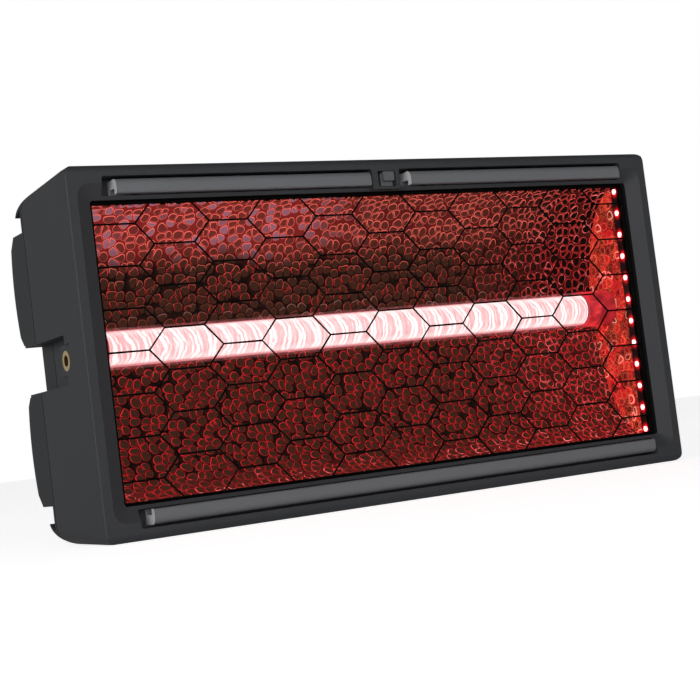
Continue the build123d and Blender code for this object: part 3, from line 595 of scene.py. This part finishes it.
def endPlate(name, side):
    a, b = hammer["semiHeight"] + plate["overlap"], hammer["semiDepth"] + plate["overlap"]
    cutter = {"depth": plate["cutter"] * mm, "rotation": (0, math.pi / 2, 0)}
    sheet = flatSheet(name, hammer["front"], hammer["centre"] + b, -a, a)
    wall = sheet.modifiers.new("wall", "SOLIDIFY")
    wall.thickness = plate["wall"] * mm
    wall.offset = -1
    applyAll(sheet)
    sheet.matrix_world = Matrix((
        (0, 0, -side, side * (plate["inner"] + hammer["lift"]) * mm),
        (1, 0, 0, front),
        (0, 1, 0, middle),
        (0, 0, 0, 1),
    ))
    settle(sheet)
    bpy.ops.mesh.primitive_cylinder_add(vertices=160, radius=1, **cutter)
    keep = bpy.context.object
    keep.scale = (a * mm, b * mm, 1)
    keep.location = at(side * plate["inner"], hammer["centre"], 0)
    settle(keep)
    bpy.ops.mesh.primitive_cylinder_add(vertices=96, radius=plate["hole"] * mm, **cutter)
    hole = bpy.context.object
    hole.location = at(side * plate["inner"], tube["depth"], tube["rise"])
    settle(hole)
    for tool, operation in ((keep, "INTERSECT"), (hole, "DIFFERENCE")):
        cut = sheet.modifiers.new("cut", "BOOLEAN")
        cut.object = tool
        cut.operation = operation
        cut.solver = "EXACT"
    applyAll(sheet)
    for tool in (keep, hole):
        bpy.data.objects.remove(tool)
    if side > 0:
        editAll(sheet)
        bpy.ops.mesh.normals_make_consistent(inside=False)
    pickOnly(sheet)
    bpy.ops.object.shade_smooth_by_angle(angle=math.radians(50))
    return sheet


plates = [endPlate("reflectorEndLeft", -1), endPlate("reflectorEndRight", 1)]
print("end plates", [len(p.data.polygons) for p in plates])

glare = {  # painted reflections: what the bright sheet reflects, by the lie of each pebble, painted as glow
    "top": colour(58, 32, 23), "topRed": colour(112, 42, 38), "lavender": colour(150, 96, 112),
    "pit": colour(14, 7, 6), "groove": colour(30, 15, 12), "grooveRed": colour(128, 36, 34),
    "salmon": colour(236, 104, 90), "vivid": colour(226, 30, 42), "hot": colour(255, 170, 165),
    "grey": colour(160, 140, 130), "maroon": colour(84, 26, 22),
}


def addUp(first, *others):
    for other in others:
        settings = {"data_type": "RGBA", "blend_type": "ADD"}
        first = first.node("ShaderNodeMix", settings, {0: 1.0, 6: first, 7: other}, 2)
    return first


def troughShine():
    # painted light: all the reflector's colours are glow painted on a near-black sheet, standing in for the
    # red light and the lamp that the bright metal reflects
    constants = {"Emission_Strength": 1.0, "Specular_IOR_Level": 0.02}
    material, start, shader = finish("hammeredPaintedRedLight", (0.004, 0.002, 0.001, 1), 0.5, **constants)
    flat = start.node("ShaderNodeAttribute", {"attribute_name": "flat"}, output=1)
    inside, away, tone = pebbles(start, flat)
    above, leftward = away.parts()[:2]
    x, depth, height = placeInMm(start)
    first, second, third = tone.parts()
    place = objectPlace(start)
    patch = start.node("ShaderNodeTexNoise", inputs={"Vector": place, "Scale": 26.0, "Detail": 2.0}) - 0.5
    flicker = start.node("ShaderNodeTexNoise", inputs={"Vector": place, "Scale": 330.0, "Detail": 2.0})
    ring = inside.step(0.02, 0.06) * (1 - inside.step(0.075, 0.125))
    top = inside.step(0.07, 0.12)
    # painted shade: dark pits in the grooves of some pebbles
    pit = (1 - inside.step(-0.06, 0.03)) * second.step(0.3, 0.7)
    high = (height + patch * 16.0).step(50, 70)
    nearHigh = (height + patch * 16.0).step(34, 62)
    low = 1 - height.step(-8, 4)
    rim = (height.size() + patch * 10.0).step(72, 86)
    left = 1 - (x + patch * 60.0).step(-70, 30)
    right = (x + patch * 60.0).step(70, 180)
    # painted reflection: brown tops and grooves, with painted shade in the pits
    lit = top.mix(pit.mix(glare["groove"], glare["pit"]), glare["top"])
    # painted light: the upper band lit pink and red, tops lavender towards the left
    tops = (left * first.step(0.62, 0.82)).mix(glare["topRed"], glare["lavender"])
    warm = top.mix(glare["grooveRed"], tops)
    lit = (high * (1 - right) * (0.45 + left * 0.5)).mix(lit, warm)
    # painted light: red grooves and maroon tops near the lower rim and on the right
    lit = (low * rim * 0.5 + right * 0.2).mix(lit, top.mix(glare["grooveRed"], glare["maroon"]))
    # painted shade: pebble tops on the right, above the lower part, painted pit-dark
    lit = (right * (1 - low) * top).mix(lit, glare["pit"])
    upperArc = above.step(-0.2, 0.7)
    strong = ring * (second * 0.7 + 0.8)
    arcs = high * 0.55 + upperArc * (0.2 + nearHigh * 0.45)
    # painted reflection: salmon arcs on the upper rims of the pebbles
    salmon = (strong * (1 - low) * arcs * (1 - right * 0.7)).tint(glare["salmon"])
    sideArc = leftward.size().step(0.5, 0.95) * (1 - high)
    upperLeft = (above * 0.6 + leftward * 0.8).step(-0.6, 0.8)
    uneven = flicker.step(0.3, 0.7) * 0.6 + 0.4
    dashes = (1 - low) * sideArc * third.step(0.4, 0.8) * 0.9
    outlines = low * (upperLeft * 0.8 + 0.3) * (third * 0.8 + 0.8)
    # painted reflection: vivid red dashes and outlines on the pebble rims
    red = ring * uneven * (dashes + outlines + right * 0.8)
    # painted glints: pale hot sparkles on the rims, on the right and near the lower rim
    hot = ring * (right * 0.45 + low * rim * 0.5) * (flicker + third * 0.3).step(0.72, 0.9)
    nearTube = 1 - (height - tube["rise"] - 4.0).size().step(14.0, 24.0)
    # painted reflection of the lamp: grey glints on the rims near the tube
    grey = ring * nearTube * first.step(0.45, 0.8) * upperArc * 0.4
    along, up = start.node("ShaderNodeTexCoord", output=1).parts()[1:]
    facing = (along * (hammer["centre"] - depth) - up * height).step(-25, -10)  # the sheet's back stays dark
    shine = addUp(lit, salmon, red.tint(glare["vivid"]), hot.tint(glare["hot"]), grey.tint(glare["grey"]))
    feed(shader, Emission_Color=facing.mix((0, 0, 0, 1), shine))
    return material


def plateShine():
    constants = {"Emission_Strength": 1.0, "Specular_IOR_Level": 0.02}
    material, start, shader = finish("hammeredEnd", (0.006, 0.002, 0.002, 1), 0.5, **constants)
    x, depth, height = placeInMm(start)
    place = objectPlace(start)
    flat = start.node("ShaderNodeCombineXYZ", inputs={0: depth / 1000, 1: height / 1000})
    inside, _, tone = pebbles(start, flat)
    first, second, third = tone.parts()
    toEdge = {"feature": "DISTANCE_TO_EDGE"}
    causticNet = start.node("ShaderNodeTexVoronoi", toEdge, {"Vector": place, "Scale": 420.0})
    patch = start.node("ShaderNodeTexNoise", inputs={"Vector": place, "Scale": 90.0, "Detail": 3.0})
    # painted light: the end plates' red body, rim arcs, caustic lines and sparkles are glow painted on a
    # near-black sheet, standing in for the red light on the bright metal
    ring = inside.step(0.0, 0.06) * (1 - inside.step(0.1, 0.19))
    body = first.step(0.2, 0.8).mix(colour(104, 10, 18), colour(190, 22, 30))
    body = patch.step(0.55, 0.8).mix(body, colour(198, 42, 34))
    causticLines = (1 - causticNet.step(0.0, 0.07)) * patch.step(0.3, 0.6) * 0.3
    across = start.node("ShaderNodeTexCoord", output=1).parts()[0]
    facing = (0 - across * x).step(-120, -60)
    shine = addUp(
        body, (ring * (second * 0.6 + 0.05)).tint(colour(238, 92, 66)), causticLines.tint(colour(235, 160, 90)),
        (ring * third.step(0.8, 0.95) * 0.5).tint(colour(255, 190, 170)),
    )
    feed(shader, Emission_Color=facing.mix((0, 0, 0, 1), shine))
    return material


troughPaintedLight, platePaintedLight = troughShine(), plateShine()
for piece, node, material in (
    (upper, "reflector_upper", troughPaintedLight),
    (lower, "reflector_lower", troughPaintedLight),
    (plates[0], "reflector_end_left", platePaintedLight),
    (plates[1], "reflector_end_right", platePaintedLight),
):
    piece.data.materials.clear()
    piece.data.materials.append(material)
    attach(piece, "head")
    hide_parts(node)
print("reflector finished")

guard = {  # six-sided cells of round wire behind the front edge
    "halfWidth": 196.4, "halfHeight": 87.0, "depth": 8.0, "wire": 1.2, "corner": 1.2,
    "rows": 7, "columns": 11, "endRun": 13.65, "slant": 10.95,
}


def guardNet():
    innerZ = guard["halfHeight"] - 0.5
    rise = innerZ / guard["rows"]
    pitch = 2 * (guard["halfWidth"] - guard["endRun"]) / (guard["columns"] - 1)
    halfCell = (pitch + guard["slant"]) / 2
    shoulder = halfCell - guard["slant"]
    pickNone()
    upright = (math.pi / 2, math.pi / 2, 0)
    bpy.ops.mesh.primitive_circle_add(vertices=6, radius=1, fill_type="NOTHING", rotation=upright)
    cell = bpy.context.object
    settle(cell)
    for point in cell.data.vertices:  # the even circle becomes the guard's long cell
        tip = abs(point.co.z) < 0.01
        point.co.x = math.copysign((halfCell if tip else shoulder) * mm, point.co.x)
        point.co.y = 0
        point.co.z = 0 if tip else math.copysign(rise * mm, point.co.z)
    cells = []
    for column in range(guard["columns"]):
        for row in range(-guard["rows"] - 1, guard["rows"] + 2):
            if (row + column) % 2:
                place = at((column - (guard["columns"] - 1) / 2) * pitch, guard["depth"], row * rise)
                cells.append(copyOf(cell, Matrix.Translation(place)))
    bpy.data.objects.remove(cell)
    net = joined("guardWires", cells)
    editAll(net)
    bpy.ops.mesh.remove_doubles(threshold=0.0002)
    edgeX = (guard["columns"] - 1) / 2 * pitch + shoulder
    pickParts(net, lambda co, n: abs(co.x) > (edgeX + 2) * mm, "VERT")
    bpy.ops.mesh.delete(type="VERT")
    for side in (-1, 1):
        pickParts(net, lambda co, n: side * co.x > (edgeX - 1) * mm, "VERT")
        reach = side * (guard["halfWidth"] - edgeX) * mm
        bpy.ops.mesh.extrude_region_move(TRANSFORM_OT_translate={"value": (reach, 0, 0)})
    for side in (-1, 1):
        bpy.ops.mesh.select_all(action="SELECT")
        bpy.ops.mesh.bisect(plane_co=at(0, 0, side * innerZ), plane_no=(0, 0, side), clear_outer=True)
    bpy.ops.object.mode_set(mode="OBJECT")
    return net


def guardRim():
    pickNone()
    bpy.ops.mesh.primitive_plane_add(size=2, rotation=(math.pi / 2, 0, 0))
    rim = bpy.context.object
    half = guard["wire"] / 2
    rim.scale = ((guard["halfWidth"] - half) * mm, (guard["halfHeight"] - half) * mm, 1)
    rim.location = at(0, guard["depth"], 0)
    settle(rim)
    editAll(rim)
    bpy.ops.mesh.bevel(offset=guard["corner"] * mm, segments=4, affect="VERTICES")
    bpy.ops.mesh.delete(type="ONLY_FACE")
    bpy.ops.object.mode_set(mode="OBJECT")
    return rim


def roundWire(thing):
    pickOnly(thing)
    bpy.ops.object.convert(target="CURVE")
    thing = bpy.context.object
    thing.data.bevel_depth = guard["wire"] / 2 * mm
    thing.data.bevel_resolution = 2
    thing.data.use_fill_caps = True
    bpy.ops.object.convert(target="MESH")
    return bpy.context.object


guardPiece = joined("guardWires", [roundWire(guardNet()), roundWire(guardRim())])
editAll(guardPiece)
bpy.ops.mesh.normals_make_consistent(inside=False)
pickOnly(guardPiece)
bpy.ops.object.shade_smooth_by_angle(angle=math.radians(60))
guardPiece.data.materials.clear()
guardPiece.data.materials.append(finishes["guard_wire"])
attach(guardPiece, "head")
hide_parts("wire_guard")
print("guard", len(guardPiece.data.polygons), [round(v, 4) for v in guardPiece.dimensions])


def oneChip():
    side = chips["side"] * mm
    rise = chips["rise"] * mm
    pickNone()
    bpy.ops.mesh.primitive_cube_add(size=1)
    chip = bpy.context.object
    editAll(chip)
    bpy.ops.transform.resize(value=(rise, side, side))
    bpy.ops.transform.translate(value=(rise / 2, 0, 0))
    pickParts(chip, lambda co, n: n.x > 0.9)
    for inset, push in chips["steps"]:
        bpy.ops.mesh.inset(thickness=inset * mm)
        bpy.ops.mesh.extrude_region_move(TRANSFORM_OT_translate={"value": (push * mm, 0, 0)})
    bpy.ops.object.mode_set(mode="OBJECT")
    soft = chip.modifiers.new("soft", "BEVEL")
    soft.width = chips["soft"] * mm
    soft.segments = 2
    soft.limit_method = "ANGLE"
    applyAll(chip)
    return chip


chip = oneChip()
for side, node in ((-1, "led_row_left"), (1, "led_row_right")):
    placed = []
    for index in range(chips["count"]):
        height = (index - (chips["count"] - 1) / 2) * chips["pitch"]
        turn = Matrix.Rotation(math.pi if side > 0 else 0, 4, "Z")
        place = Matrix.Translation(at(side * chips["outer"], chips["depth"], height))
        placed.append(copyOf(chip, place @ turn))
    row = joined("lightChips" + ("Left" if side < 0 else "Right"), placed)
    row.data.materials.clear()
    row.data.materials.append(finishes["led"])
    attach(row, "head")
    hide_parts(node)
bpy.data.objects.remove(chip)
print("light chips placed")

bpy.context.view_layer.update()
